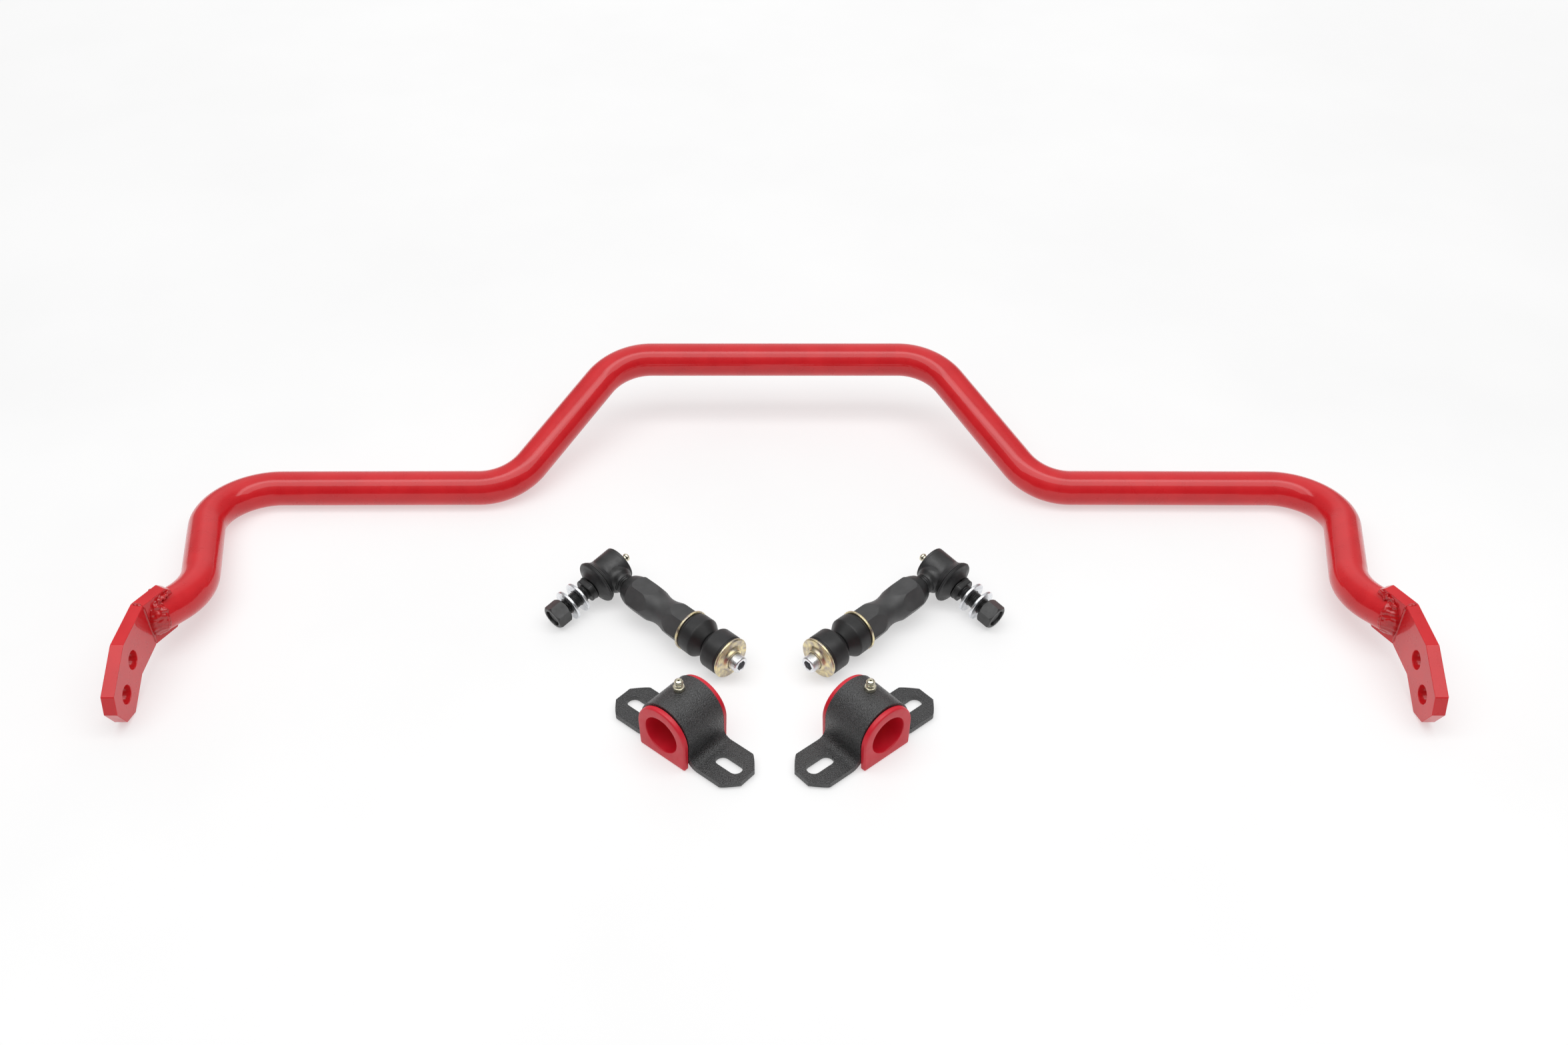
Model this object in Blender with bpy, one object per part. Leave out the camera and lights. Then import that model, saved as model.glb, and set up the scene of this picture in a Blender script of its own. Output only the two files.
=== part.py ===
"""Sway (anti-roll) bar kit, laid out ready to fit.

A hollow red bar with a raised centre hump, flat-bar arms welded into its slotted ends,
two ball-jointed end links and two saddle brackets with flanged bushings.
Metres, Z up, floor at z = 0, X across the vehicle, Y towards the rear.
The origin is the centre of the laid-out kit's footprint.
"""
import bmesh
import bpy
from math import acos, cos, pi, radians, sin, sqrt, tan

from mathutils import Matrix, Vector

for old in list(bpy.data.objects):
    bpy.data.objects.remove(old, do_unlink=True)

MM = 0.001
GAP = 0.0003
CLEAR = 30 * MM

# ---- line of the two side tubes, behind the centre of the footprint
SIDE_Y = 87.05 * MM

# ---- bar tube
BAR_R = 14.3 * MM
BAR_WALL = 4.3 * MM
BAR_SEGMENTS = 18
HUMP_HALF = 137.4 * MM
HUMP_Y = SIDE_Y + 126.0 * MM
HUMP_Z = 60.0 * MM
SHOULDER_HALF = 219.2 * MM
ELBOW_HALF = 470.0 * MM
ELBOW_Y = SIDE_Y - 1.0 * MM
KICK_X, KICK_Y, KICK_Z = 435.0 * MM, SIDE_Y - 141.5 * MM, 25.5 * MM
HUMP_BEND, SHOULDER_BEND, ELBOW_BEND, KICK_BEND = 52 * MM, 50 * MM, 47 * MM, 56 * MM

# ---- arm plates: 1.5 x 3/8 inch flat bar, tab let into the slotted tube end
STRIP_W = 38.1 * MM
STRIP_T = 9.53 * MM
ARM_X = 454.9 * MM
JOINT_Y = SIDE_Y - 187.5 * MM
STRIP_Z = 32.6 * MM
TAB_TURN = radians(28.0)
TAB_LENGTH = 25.5 * MM
TAB_CHAMFER = 4.5 * MM
TUBE_END = 9.5 * MM
HOLE_1_Y = SIDE_Y - 223.5 * MM
HOLE_PITCH = 25.4 * MM
HOLE_R = 6.9 * MM
DOGLEG = radians(28.5)
TIP_LENGTH = 43.0 * MM
TIP_CHAMFER = 10.0 * MM

# ---- end links
LINK_AT = (128.3 * MM, SIDE_Y - 114.6 * MM, 20.5 * MM)
LINK_YAW = radians(43.3)
LINK_DIP = radians(1.6)
STUD_DROOP = radians(10.5)
BALL_R = 9.3 * MM
SEAT_R, SEAT_HALF, SEAT_PLAY = 11.15 * MM, 5.4 * MM, 0.45 * MM
HEX_AF = 25.4 * MM

# ---- saddle brackets and bushings
SADDLE_AT = (63.4 * MM, SIDE_Y - 269.2 * MM)
SADDLE_YAW = radians(40.4)
BORE_R = 14.45 * MM
BORE_Z = 21.8 * MM
DOME_Z = 23.1 * MM
DOME_R = 22.4 * MM
DOME_WALL = 4.0 * MM
SADDLE_DEPTH = 35.0 * MM
FLANGE_T = 4.0 * MM
FLANGE_R = 22.0 * MM
FOOT_HALF = 59.5 * MM
FOOT_LIFT = 1.5 * MM
FOOT_T = 4.0 * MM
FOOT_CHAMFER = 10.5 * MM
SLOT_IN, SLOT_OUT, SLOT_R = 31.5 * MM, 53.5 * MM, 5.2 * MM
NIPPLE_SHIFT = 4.0 * MM

GROUND = Matrix.Identity(4)


def material(name, colour, metallic=0.0, roughness=0.5, coat=0.0):
    mat = bpy.data.materials.new(name)
    mat.use_nodes = True
    shader = mat.node_tree.nodes["Principled BSDF"]
    shader.inputs["Base Color"].default_value = (*colour, 1.0)
    shader.inputs["Metallic"].default_value = metallic
    shader.inputs["Roughness"].default_value = roughness
    shader.inputs["Coat Weight"].default_value = coat
    mat.diffuse_color = (*colour, 1.0)
    return mat


FINISH = {
    "red": ((0.50, 0.012, 0.02), 0.0, 0.28, 0.6),
    "black": ((0.03, 0.03, 0.032), 0.6, 0.45, 0.0),
    "rubber": ((0.018, 0.018, 0.018), 0.0, 0.6, 0.0),
    "zinc": ((0.72, 0.74, 0.76), 1.0, 0.28, 0.0),
    "gold": ((0.72, 0.60, 0.34), 1.0, 0.32, 0.0),
    "nylon": ((0.75, 0.73, 0.68), 0.0, 0.5, 0.0),
    "textured": ((0.035, 0.035, 0.037), 0.0, 0.55, 0.2),
    "urethane": ((0.60, 0.02, 0.035), 0.0, 0.42, 0.0),
}


def place(name, bm, finish, parent=None, at=(0, 0, 0), smooth=40.0):
    """Turn a bmesh into a named object with its own material."""
    bmesh.ops.remove_doubles(bm, verts=bm.verts, dist=1e-6)
    bmesh.ops.recalc_face_normals(bm, faces=bm.faces)
    if smooth:
        for face in bm.faces:
            face.smooth = True
        for edge in bm.edges:
            edge.smooth = len(edge.link_faces) == 2 and edge.calc_face_angle(0) < radians(smooth)
    mesh = bpy.data.meshes.new(name)
    bm.to_mesh(mesh)
    bm.free()
    obj = bpy.data.objects.new(name, mesh)
    bpy.context.scene.collection.objects.link(obj)
    colour, metallic, roughness, coat = FINISH[finish]
    mesh.materials.append(material(name, colour, metallic, roughness, coat))
    obj.parent = parent
    obj.location = at
    return obj


def empty(name, at, yaw=0.0, dip=0.0, parent=None, roll=0.0):
    obj = bpy.data.objects.new(name, None)
    bpy.context.scene.collection.objects.link(obj)
    obj.parent = parent
    obj.location = at
    obj.rotation_euler = (roll, dip, yaw)
    obj.empty_display_size = 0.01
    return obj


def combine(target, tools, operation):
    """Apply Boolean tools to target and drop them."""
    for tool in tools:
        tool.hide_render = True
        tool.display_type = "WIRE"
        mod = target.modifiers.new("cut", "BOOLEAN")
        mod.operation = operation
        mod.solver = "EXACT"
        mod.object = tool
    bpy.context.view_layer.update()
    graph = bpy.context.evaluated_depsgraph_get()
    result = bpy.data.meshes.new_from_object(target.evaluated_get(graph))
    target.modifiers.clear()
    old = target.data
    target.data = result
    bpy.data.meshes.remove(old)
    for tool in tools:
        bpy.data.objects.remove(tool, do_unlink=True)
    return target


def set_smooth(obj, angle=35.0):
    bm = bmesh.new()
    bm.from_mesh(obj.data)
    bmesh.ops.remove_doubles(bm, verts=bm.verts, dist=2e-6)
    for face in bm.faces:
        face.smooth = True
    for edge in bm.edges:
        edge.smooth = len(edge.link_faces) == 2 and edge.calc_face_angle(0) < radians(angle)
    bm.to_mesh(obj.data)
    bm.free()
    return obj


def axis_frame(axis):
    """Rotation taking local Z to the named axis."""
    turns = {
        "x": Matrix.Rotation(pi / 2, 4, "Y"),
        "y": Matrix.Rotation(-pi / 2, 4, "X"),
        "-y": Matrix.Rotation(pi / 2, 4, "X"),
        "z": Matrix.Identity(4),
    }
    return turns[axis]


def lathe(profile, axis="z", segments=24, closed=False, phase=0.0):
    """Spin (radius, height) pairs round an axis; radius 0 closes to a point."""
    bm = bmesh.new()
    rings = []
    for radius, height in profile:
        if radius <= 0.0:
            rings.append([bm.verts.new((0, 0, height))])
            continue
        rings.append([
            bm.verts.new((radius * cos(phase + 2 * pi * i / segments),
                          radius * sin(phase + 2 * pi * i / segments), height))
            for i in range(segments)
        ])
    pairs = list(zip(rings, rings[1:]))
    if closed:
        pairs.append((rings[-1], rings[0]))
    for lower, upper in pairs:
        for i in range(segments):
            j = (i + 1) % segments
            if len(lower) == 1:
                bm.faces.new((lower[0], upper[i], upper[j]))
            elif len(upper) == 1:
                bm.faces.new((lower[i], lower[j], upper[0]))
            else:
                bm.faces.new((lower[i], lower[j], upper[j], upper[i]))
    if not closed:
        for ring in (rings[0], rings[-1]):
            if len(ring) > 1:
                bm.faces.new(ring)
    bmesh.ops.transform(bm, matrix=axis_frame(axis), verts=bm.verts)
    return bm


def prism(outline, low, high, frame=GROUND):
    """Extrude a 2-D outline between two heights along local Z of a frame."""
    bm = bmesh.new()
    bottom = [bm.verts.new((x, y, low)) for x, y in outline]
    top = [bm.verts.new((x, y, high)) for x, y in outline]
    count = len(outline)
    for i in range(count):
        j = (i + 1) % count
        bm.faces.new((bottom[i], bottom[j], top[j], top[i]))
    bm.faces.new(bottom)
    bm.faces.new(top)
    bmesh.ops.transform(bm, matrix=frame, verts=bm.verts)
    return bm


def polygon(radius, sides, turn=0.0):
    return [(radius * cos(turn + 2 * pi * i / sides), radius * sin(turn + 2 * pi * i / sides))
            for i in range(sides)]


def hexagon(across_flats, turn=pi / 6):
    return polygon(across_flats / 2 / cos(pi / 6), 6, turn)


# ------------------------------------------------------------------ bar tube
def tab_point(side, along):
    """Point on the mid-plane of a tab, measured back from its joint with the arm."""
    back = Vector((-side * sin(TAB_TURN), cos(TAB_TURN), 0.0))
    out = Vector((side * cos(TAB_TURN), sin(TAB_TURN), 0.0))
    inner = Vector((side * ARM_X, JOINT_Y, STRIP_Z))
    return inner + back * along + out * (STRIP_T / 2)


def bar_corners():
    half = [
        (Vector((HUMP_HALF, HUMP_Y, HUMP_Z)), HUMP_BEND),
        (Vector((SHOULDER_HALF, SIDE_Y, BAR_R)), SHOULDER_BEND),
        (Vector((ELBOW_HALF, ELBOW_Y, BAR_R)), ELBOW_BEND),
        (Vector((KICK_X, KICK_Y, KICK_Z)), KICK_BEND),
        (tab_point(1, TUBE_END), 0.0),
    ]
    mirrored = [(Vector((-p.x, p.y, p.z)), r) for p, r in reversed(half)]
    return mirrored + half


def filleted_path(corners, step=radians(12.0)):
    points = [corners[0][0]]
    for (before, _), (corner, radius), (after, _) in zip(corners, corners[1:], corners[2:]):
        back = (before - corner).normalized()
        ahead = (after - corner).normalized()
        turn = pi - acos(max(-1.0, min(1.0, back.dot(ahead))))
        reach = radius * tan(turn / 2)
        centre = corner + (back + ahead).normalized() * (radius / cos(turn / 2))
        start = corner + back * reach - centre
        finish = corner + ahead * reach - centre
        count = max(2, round(turn / step))
        for i in range(count + 1):
            a = i / count
            w0, w1 = sin((1 - a) * turn) / sin(turn), sin(a * turn) / sin(turn)
            points.append(centre + start * w0 + finish * w1)
    points.append(corners[-1][0])
    return points


def sweep(points, radius, inner, segments):
    """Hollow tube along a path with annular ends."""
    bm = bmesh.new()
    tangents = []
    for i in range(len(points)):
        a = points[max(i - 1, 0)]
        b = points[min(i + 1, len(points) - 1)]
        tangents.append((b - a).normalized())
    tangents[0] = (points[1] - points[0]).normalized()
    tangents[-1] = (points[-1] - points[-2]).normalized()
    normal = Vector((0, 0, 1))
    shells = []
    for point, tangent in zip(points, tangents):
        normal = (normal - tangent * normal.dot(tangent)).normalized()
        side = tangent.cross(normal)
        shells.append([
            [bm.verts.new(point + (normal * cos(t) + side * sin(t)) * r)
             for t in (2 * pi * i / segments for i in range(segments))]
            for r in (radius, inner)
        ])
    for (outer_a, inner_a), (outer_b, inner_b) in zip(shells, shells[1:]):
        for i in range(segments):
            j = (i + 1) % segments
            bm.faces.new((outer_a[i], outer_a[j], outer_b[j], outer_b[i]))
            bm.faces.new((inner_a[j], inner_a[i], inner_b[i], inner_b[j]))
    for outer, inner_ring in (shells[0], shells[-1]):
        for i in range(segments):
            j = (i + 1) % segments
            bm.faces.new((outer[i], outer[j], inner_ring[j], inner_ring[i]))
    return bm


def tab_frame(side):
    """Local X back along the tab, Y up, Z across its thickness (outwards)."""
    back = Vector((-side * sin(TAB_TURN), cos(TAB_TURN), 0.0))
    out = Vector((side * cos(TAB_TURN), sin(TAB_TURN), 0.0))
    at = Vector((side * ARM_X, JOINT_Y, STRIP_Z))
    return Matrix((
        (back.x, 0, out.x, at.x), (back.y, 0, out.y, at.y), (0, 1, 0, at.z), (0, 0, 0, 1),
    ))


path = filleted_path(bar_corners())
bar = place("bar_tube", sweep(path, BAR_R, BAR_R - BAR_WALL, BAR_SEGMENTS), "red")
slots = []
for side in (-1, 1):
    low, high, deep = -GAP, STRIP_T + GAP, TAB_LENGTH + 2 * GAP
    outline = [(-CLEAR, -CLEAR), (deep, -CLEAR), (deep, CLEAR), (-CLEAR, CLEAR)]
    slots.append(place("slot", prism(outline, low, high, tab_frame(side)), "red", smooth=0))
combine(bar, slots, "DIFFERENCE")
set_smooth(bar, 40)


# ------------------------------------------------------- arm plates and welds
def loft_pair(inner, outer):
    """Closed solid between two matching point loops."""
    bm = bmesh.new()
    a = [bm.verts.new(p) for p in inner]
    b = [bm.verts.new(p) for p in outer]
    for i in range(len(a)):
        j = (i + 1) % len(a)
        bm.faces.new((a[i], a[j], b[j], b[i]))
    bm.faces.new(a)
    bm.faces.new(b)
    return bm


def build_tab(side, label):
    half, chamfer = STRIP_W / 2, TAB_CHAMFER
    mitre = STRIP_T * tan(TAB_TURN / 2)
    frame = tab_frame(side)
    loops = []
    for depth, start in ((0.0, GAP), (STRIP_T, GAP - mitre)):
        outline = [
            (start, -half), (TAB_LENGTH - chamfer, -half), (TAB_LENGTH, -half + chamfer),
            (TAB_LENGTH, half - chamfer), (TAB_LENGTH - chamfer, half), (start, half),
        ]
        loops.append([frame @ Vector((x, y, depth)) for x, y in outline])
    return place("tab_plate_" + label, loft_pair(*loops), "red", smooth=0)


def build_arm(side, label):
    half = STRIP_W / 2
    mitre = STRIP_T * tan(TAB_TURN / 2)
    run = Vector((0, -cos(DOGLEG), -sin(DOGLEG)))
    rise = Vector((0, -sin(DOGLEG), cos(DOGLEG)))
    bend = Vector((0, HOLE_1_Y, STRIP_Z))
    corner = half * tan(DOGLEG / 2)
    loops = []
    for x, start in ((side * ARM_X, 0.0), (side * (ARM_X + STRIP_T), mitre)):
        lay = Vector((x, 0, 0))
        joint = JOINT_Y - GAP + start
        loops.append([
            lay + Vector((0, joint, STRIP_Z - half)),
            lay + bend + Vector((0, corner, -half)),
            lay + bend + run * (TIP_LENGTH - TIP_CHAMFER) - rise * half,
            lay + bend + run * TIP_LENGTH - rise * (half - TIP_CHAMFER),
            lay + bend + run * TIP_LENGTH + rise * (half - TIP_CHAMFER),
            lay + bend + run * (TIP_LENGTH - TIP_CHAMFER) + rise * half,
            lay + bend + Vector((0, -corner, half)),
            lay + Vector((0, joint, STRIP_Z + half)),
        ])
    arm = place("arm_plate_" + label, loft_pair(*loops), "red", smooth=0)
    drills = []
    for step in (0.0, HOLE_PITCH):
        at = bend + run * step + Vector((side * ARM_X, 0, 0))
        drill = lathe([(HOLE_R, -CLEAR), (HOLE_R, CLEAR)], "x", 24)
        drills.append(place("drill", drill, "red", at=at))
    combine(arm, drills, "DIFFERENCE")
    return set_smooth(arm, 30)


def build_weld(side, label, face):
    """Fillet closing one half of the slotted tube end onto a face of the tab."""
    frame = tab_frame(side)
    inner = face == "inner"
    reach, wide, columns, rows = 7.4 * MM, 13.0 * MM, 10, 5
    stand = BAR_R * 0.93
    climb = (path[-1] - path[-2]).normalized().z
    bm = bmesh.new()
    top, base = [], []
    for j in range(columns + 1):
        across = -wide + 2 * wide * j / columns
        span = sqrt(max(0.0, 1 - (across / (wide * 1.05)) ** 2))
        tall = max(stand * sqrt(max(0.0, 1 - (across / (stand * 1.06)) ** 2)) - STRIP_T / 2, 0.6 * MM)
        line_top, line_base = [], []
        for i in range(rows + 1):
            a = i / rows
            along = TUBE_END + across * climb - 2 * GAP - a * (reach * span + 1.0 * MM)
            height = tall * (1 - a) ** 0.8 + 0.8 * MM
            ripple = 0.35 * MM * sin(3 * pi * a) * (1 - a)
            depth = -(GAP + height + ripple) if inner else STRIP_T + GAP + height + ripple
            foot = -GAP if inner else STRIP_T + GAP
            line_top.append(bm.verts.new(frame @ Vector((along, across, depth))))
            line_base.append(bm.verts.new(frame @ Vector((along, across, foot))))
        top.append(line_top)
        base.append(line_base)
    for grid in (top, base):
        for j in range(columns):
            for i in range(rows):
                bm.faces.new((grid[j][i], grid[j + 1][i], grid[j + 1][i + 1], grid[j][i + 1]))
    rim = [(j, 0) for j in range(columns)] + [(columns, i) for i in range(rows)]
    rim += [(j, rows) for j in range(columns, 0, -1)] + [(0, i) for i in range(rows, 0, -1)]
    for (j0, i0), (j1, i1) in zip(rim, rim[1:] + rim[:1]):
        bm.faces.new((top[j0][i0], top[j1][i1], base[j1][i1], base[j0][i0]))
    return place("weld_%s_%s" % (face, label), bm, "red", smooth=50)


for side, label in ((-1, "left"), (1, "right")):
    build_tab(side, label)
    build_arm(side, label)
    build_weld(side, label, "inner")
    build_weld(side, label, "outer")


# ------------------------------------------------------------------ end links
def grease_fitting(name, parent, axis, at, base, segments=10):
    """Hex-based grease nipple standing 9 mm proud along an axis."""
    profile = [
        (4.4, 0), (4.4, 3.0), (2.3, 4.0), (2.3, 5.2), (3.2, 6.2), (2.5, 8.3), (1.4, 8.9),
    ]
    bm = lathe([(r * MM, (base + h) * MM) for r, h in profile], axis, segments)
    return place(name, bm, "zinc", parent, at)


def hex_lathe(name, profile, across, low, high, axis, finish, parent, at, segments=24):
    """Hexagonal bar turned down by a lathe profile."""
    body = place(name, prism(hexagon(across), low, high, axis_frame(axis)), finish, parent, at)
    bpy.context.view_layer.update()
    form = lathe(profile, axis, segments, phase=0.8 * pi / segments)
    combine(body, [place("turning", form, finish, parent, at)], "INTERSECT")
    return body


def ring_profile(inner, outer, low, high, bevel=0.0):
    return [
        (inner, low), (outer - bevel, low), (outer, low + bevel), (outer, high - bevel),
        (outer - bevel, high), (inner, high),
    ] if bevel else [(inner, low), (outer, low), (outer, high), (inner, high)]


def scaled(profile):
    return [(r * MM, h * MM) for r, h in profile]


def ball_profile(radius, neck, steps=6):
    """Lower pole of a ball up to where its neck leaves it."""
    reach = pi / 2 + acos(neck / radius)
    turns = [-pi / 2 + reach * i / steps for i in range(steps + 1)]
    return [(0.0 if i == 0 else radius * cos(t), radius * sin(t)) for i, t in enumerate(turns)]


def build_link(side, label):
    """Link axis along local +X from the ball; stud along +Y or -Y of the rolled head."""
    stud_axis = "y" if side > 0 else "-y"
    cover_axis = "-y" if side > 0 else "y"
    yaw = -LINK_YAW if side < 0 else pi + LINK_YAW
    at = (side * LINK_AT[0], LINK_AT[1], LINK_AT[2])
    shank = empty("link_%s" % label, at, yaw, LINK_DIP)
    head = empty("head_%s" % label, (0, 0, 0), parent=shank, roll=-side * STUD_DROOP)

    def turned(name, profile, axis, finish, parent, segments=20, closed=True, phase=0.0):
        bm = lathe(scaled(profile), axis, segments, closed, phase)
        return place("%s_%s" % (name, label), bm, finish, parent)

    # hexagonal body, waisted, bored for the stem and the lower stud
    waist = [
        (12.9, 29.9), (14.2, 32.0), (14.9, 34.5), (14.9, 44.5), (12.2, 55.5),
        (11.2, 62.0), (12.2, 69.5), (14.9, 82.0), (14.9, 89.4),
    ]
    body = hex_lathe("link_body_%s" % label, scaled(waist), HEX_AF, 29.0 * MM, 90.0 * MM, "x",
                     "black", shank, (0, 0, 0), 20)
    bores = [
        place("bore", lathe(scaled([(8.2, 20.0), (8.2, 54.0)]), "x", 14), "black", shank),
        place("bore", lathe(scaled([(6.7, 66.0), (6.7, 95.0)]), "x", 14), "black", shank),
    ]
    combine(body, bores, "DIFFERENCE")
    set_smooth(body, 30)
    turned("jam_collar", [
        (8.2, 24.2), (9.2, 24.2), (11.2, 27.2), (11.9, 29.5), (8.2, 29.5),
    ], "x", "black", shank)

    # ball housing with its threaded stem
    shell = place("ball_housing_%s" % label, lathe(scaled([
        (11.4, -12.6), (13.3, -12.6), (14.1, -11.8), (14.1, 6.6), (16.8, 9.6), (17.6, 10.8),
        (17.2, 11.4), (9.6, 11.4), (9.6, 7.4), (11.4, 7.0),
    ]), stud_axis, 20, True), "black", head)
    stem = place("stem", lathe(scaled([
        (10.6, 12.4), (10.0, 15.2), (7.9, 18.2), (7.9, 49.0), (7.2, 50.0),
    ]), "x", 16, phase=0.1), "black", head)
    combine(shell, [stem], "UNION")
    set_smooth(shell, 35)
    turned("housing_cover", [(0, -12.2), (11.05, -12.2), (11.05, -11.5), (0, -11.5)],
           stud_axis, "black", head, closed=False)
    grease_fitting("grease_fitting_link_%s" % label, head, cover_axis, (0, 0, 0), 12.5)

    # bearing seat: truncated spherical ring that turns inside the bore
    heights = [SEAT_HALF * (i / 2 - 1) for i in range(5)]
    seat = [(sqrt(SEAT_R ** 2 - h * h), h) for h in heights]
    seat += [(sqrt((BALL_R + SEAT_PLAY) ** 2 - h * h), h) for h in reversed(heights)]
    place("bearing_seat_%s" % label, lathe(seat, stud_axis, 16, True), "nylon", head)

    # ball stud: ball, neck, wrench collar and threaded shank
    profile = ball_profile(BALL_R, 5.8 * MM) + scaled([
        (5.8, 9.2), (5.8, 19.6), (8.2, 20.2), (8.2, 24.6), (6.35, 25.0), (6.35, 55.6),
        (5.6, 56.4), (0, 56.4),
    ])
    stud = place("ball_stud_%s" % label, lathe(profile, stud_axis, 16, phase=0.1), "black", head)
    flats = prism(hexagon(16.6 * MM, 0.0), 20.4 * MM, 24.2 * MM, axis_frame(stud_axis))
    collar = place("collar", flats, "black", head)
    combine(stud, [collar], "UNION")
    set_smooth(stud, 35)
    turned("dust_boot", [
        (15.2, 11.7), (17.7, 11.7), (17.9, 13.0), (16.4, 14.2), (12.6, 16.2), (9.6, 18.8),
        (6.3, 18.8), (10.8, 15.4), (14.2, 13.4),
    ], stud_axis, "rubber", head)
    turned("washer_inner", ring_profile(6.75, 12.4, 30.6, 32.8), stud_axis, "zinc", head)
    turned("washer_outer", ring_profile(6.75, 12.4, 40.5, 42.7), stud_axis, "zinc", head)
    nut = hex_lathe("stud_nut_%s" % label, scaled([
        (8.6, 45.8), (10.2, 47.0), (10.2, 56.6), (8.6, 58.0),
    ]), 17.6 * MM, 44.0 * MM, 60.0 * MM, stud_axis, "black", head, (0, 0, 0), 18)
    bore = lathe(scaled([(6.75, 43.0), (6.75, 61.0)]), stud_axis, 14)
    combine(nut, [place("bore", bore, "black", head)], "DIFFERENCE")
    set_smooth(nut, 30)

    # grommets and cup washers on the lower stud
    turned("cup_washer_upper", ring_profile(6.8, 15.9, 89.8, 92.0), "x", "gold", shank)
    turned("grommet_upper", [
        (6.8, 92.3), (15.6, 92.3), (15.6, 103.2), (9.6, 111.3), (6.8, 111.3),
    ], "x", "rubber", shank)
    turned("grommet_lower", [
        (6.8, 111.7), (9.6, 111.7), (15.8, 116.6), (15.8, 130.8), (6.8, 130.8),
    ], "x", "rubber", shank)
    turned("cup_washer_lower", [
        (6.8, 131.1), (16.0, 131.1), (16.0, 133.2), (10.4, 133.4), (8.2, 136.6), (6.8, 136.6),
    ], "x", "gold", shank)
    lower = place("lower_stud_%s" % label, lathe(scaled([
        (6.4, 67.0), (6.4, 142.8), (5.9, 143.6),
    ]), "x", 16), "zinc", shank)
    key = prism(hexagon(6.4 * MM), 138.0 * MM, 150.0 * MM, axis_frame("x"))
    combine(lower, [place("socket", key, "zinc", shank)], "DIFFERENCE")
    set_smooth(lower, 35)


for side, label in ((-1, "left"), (1, "right")):
    build_link(side, label)


# ------------------------------------------------------ brackets and bushings
def arch(radius, centre_z, foot_z, steps=12, half=None):
    """Half-round arch outline standing on foot_z, listed left foot to right foot."""
    half = radius if half is None else half
    pts = [(-half, foot_z)]
    for i in range(steps + 1):
        t = pi - pi * i / steps
        pts.append((radius * cos(t), centre_z + radius * sin(t)))
    pts.append((half, foot_z))
    return pts


SADDLE_FRAME = Matrix(((1, 0, 0, 0), (0, 0, 1, 0), (0, 1, 0, 0), (0, 0, 0, 1)))


def build_saddle(side, label):
    """Feet along local X, bore along local Y."""
    yaw = -SADDLE_YAW if side < 0 else SADDLE_YAW
    base = empty("saddle_%s" % label, (side * SADDLE_AT[0], SADDLE_AT[1], 0.0), yaw)
    depth = SADDLE_DEPTH / 2
    inner_r = DOME_R - DOME_WALL
    # outer silhouette: flat feet sweeping up into the dome
    knee_r, foot_top = 6.5 * MM, FOOT_LIFT + FOOT_T
    right = [(FOOT_HALF, FOOT_LIFT), (FOOT_HALF, foot_top)]
    centre = (DOME_R + knee_r, foot_top + knee_r)
    for i in range(5):
        t = -pi / 2 - (pi / 2) * i / 4
        right.append((centre[0] + knee_r * cos(t), centre[1] + knee_r * sin(t)))
    for i in range(7):
        t = (pi / 2) * i / 6
        right.append((DOME_R * cos(t), DOME_Z + DOME_R * sin(t)))
    left = [(-x, z) for x, z in reversed(right[:-1])]
    outline = right + left
    outline += [(-inner_r, FOOT_LIFT)]
    for i in range(13):
        t = pi - pi * i / 12
        outline.append((inner_r * cos(t), DOME_Z + inner_r * sin(t)))
    outline += [(inner_r, FOOT_LIFT)]
    bm = prism(outline, -depth, depth, SADDLE_FRAME)
    bracket = place("bracket_%s" % label, bm, "textured", base)
    cutters = []
    for end in (-1, 1):
        slot = []
        for i in range(9):
            t = -pi / 2 + pi * i / 8
            slot.append((SLOT_OUT - SLOT_R + SLOT_R * cos(t), SLOT_R * sin(t)))
        for i in range(9):
            t = pi / 2 + pi * i / 8
            slot.append((SLOT_IN + SLOT_R + SLOT_R * cos(t), SLOT_R * sin(t)))
        opening = prism([(end * x, y) for x, y in slot], -CLEAR, CLEAR)
        cutters.append(place("slot", opening, "textured", base))
        for face in (-1, 1):
            wide, long = depth + 2 * MM, FOOT_HALF + 2 * MM
            start, finish = FOOT_HALF - FOOT_CHAMFER, depth - FOOT_CHAMFER
            clip = [
                (end * start, face * wide), (end * long, face * wide), (end * long, face * finish),
                (end * FOOT_HALF, face * finish), (end * start, face * depth),
            ]
            cutters.append(place("clip", prism(clip, -CLEAR, CLEAR), "textured", base))
    combine(bracket, cutters, "DIFFERENCE")
    set_smooth(bracket, 30)

    # bushing: grooved D block, flanged both sides, bored for the bar
    core_r = inner_r - GAP
    half = SADDLE_DEPTH / 2 + GAP
    block = prism(arch(core_r, DOME_Z, 0.0), -half - MM, half + MM, SADDLE_FRAME)
    core = place("bushing_%s" % label, block, "urethane", base)
    flanges = []
    for sign in (-1, 1):
        low, high = sorted((sign * half, sign * (half + FLANGE_T)))
        outline = arch(FLANGE_R, BORE_Z, 0.0, 18, FLANGE_R - 0.8 * MM)
        flanges.append(place("flange", prism(outline, low, high, SADDLE_FRAME), "urethane", base))
    combine(core, flanges, "UNION")
    ream = lathe([(BORE_R, -CLEAR), (BORE_R, CLEAR)], "y", 28)
    bore = place("bore", ream, "urethane", base, (0, 0, BORE_Z))
    combine(core, [bore], "DIFFERENCE")
    set_smooth(core, 30)
    crown = (side * NIPPLE_SHIFT, 2.0 * MM, DOME_Z + sqrt(DOME_R ** 2 - NIPPLE_SHIFT ** 2))
    grease_fitting("grease_fitting_saddle_%s" % label, base, "z", crown, 0.9)


for side, label in ((-1, "left"), (1, "right")):
    build_saddle(side, label)
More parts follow.
